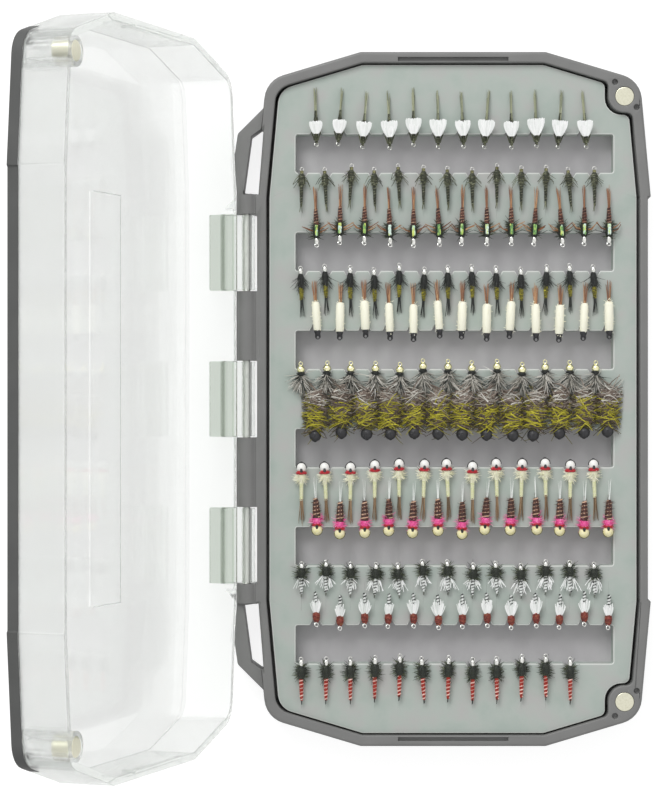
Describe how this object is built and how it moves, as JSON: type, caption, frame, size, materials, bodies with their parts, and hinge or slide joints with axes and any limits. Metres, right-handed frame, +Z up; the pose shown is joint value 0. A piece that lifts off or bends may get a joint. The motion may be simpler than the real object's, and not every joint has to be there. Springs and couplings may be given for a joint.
{
  "type": "fly box",
  "caption": "Slim fly box, open: tray with slit foam holding rows of fishing flies in six wells, clear lid on a three-lug side hinge, magnetic corners and lanyard loops.",
  "frame": {"origin": "middle of the underside of the tray, on the surface it stands on", "axes": "+X towards the latch side, +Y along the box towards its top end, +Z up; the open lid rises from the -X side"},
  "size_m": [0.1593, 0.184, 0.1083],
  "materials": {
    "tray_plastic": "satin moulded",
    "clear_plastic": "clear polished",
    "soft_grip": "soft matte",
    "slit_foam": "matte foam",
    "backing_foam": "matte foam",
    "pin_steel": "ground",
    "magnet": "nickel plated",
    "hook_steel": "bronzed wire",
    "silver_bead": "plated",
    "gold_bead": "plated",
    "bronze_bead": "dark plated",
    "black_bead": "enamelled",
    "white_bead": "enamelled",
    "olive_thread": "wound thread",
    "brown_thread": "wound thread",
    "cream_thread": "wound thread",
    "red_thread": "wound thread",
    "rust_fibre": "fibres",
    "cream_chenille": "chenille",
    "dark_hackle": "feather fibres",
    "gray_hackle": "feather fibres",
    "olive_hackle": "feather fibres",
    "peacock_herl": "herl",
    "white_wing": "fibres"
  },
  "bodies": {
    "base": {"base_tray": "tray_plastic", "foam_backing": "backing_foam", "slit_foam": "slit_foam", "hinge_pin": "pin_steel", "tray_magnet_top": "magnet", "tray_magnet_bottom": "magnet", "emerger_hooks": "hook_steel", "emerger_bodies": "olive_thread", "emerger_wings": "white_wing", "olive_hooks": "hook_steel", "olive_beads": "bronze_bead", "olive_bodies": "olive_thread", "flashback_hooks": "hook_steel", "flashback_beads": "silver_bead", "flashback_bodies": "brown_thread", "flashback_legs": "rust_fibre", "spider_hooks": "hook_steel", "spider_beads": "silver_bead", "spider_bodies": "dark_hackle", "grub_hooks": "hook_steel", "grub_heads": "black_bead", "grub_bodies": "cream_chenille", "goldhead_hooks": "hook_steel", "goldhead_beads": "gold_bead", "goldhead_hackles": "gray_hackle", "bugger_hooks": "hook_steel", "bugger_beads": "black_bead", "bugger_hackles": "olive_hackle", "pale_hooks": "hook_steel", "pale_beads": "white_bead", "pale_bodies": "cream_thread", "hotspot_hooks": "hook_steel", "hotspot_beads": "gold_bead", "hotspot_bodies": "brown_thread", "peacock_hooks": "hook_steel", "peacock_beads": "silver_bead", "peacock_bodies": "peacock_herl", "peacock_wings": "white_wing", "rust_hooks": "hook_steel", "rust_beads": "silver_bead", "rust_bodies": "rust_fibre", "rust_wings": "white_wing", "ribbed_hooks": "hook_steel", "ribbed_beads": "silver_bead", "ribbed_bodies": "red_thread"},
    "lid": {"lid_shell": "clear_plastic", "lid_grip": "soft_grip", "lid_magnet_top": "magnet", "lid_magnet_bottom": "magnet"}
  },
  "joints": [
    {"name": "lid_hinge", "type": "hinge", "parent": "base", "child": "lid", "pos_m": [-0.0548, 0, 0.0082], "axis": [0, 1, 0], "range_deg": [0, 110]}
  ]
}
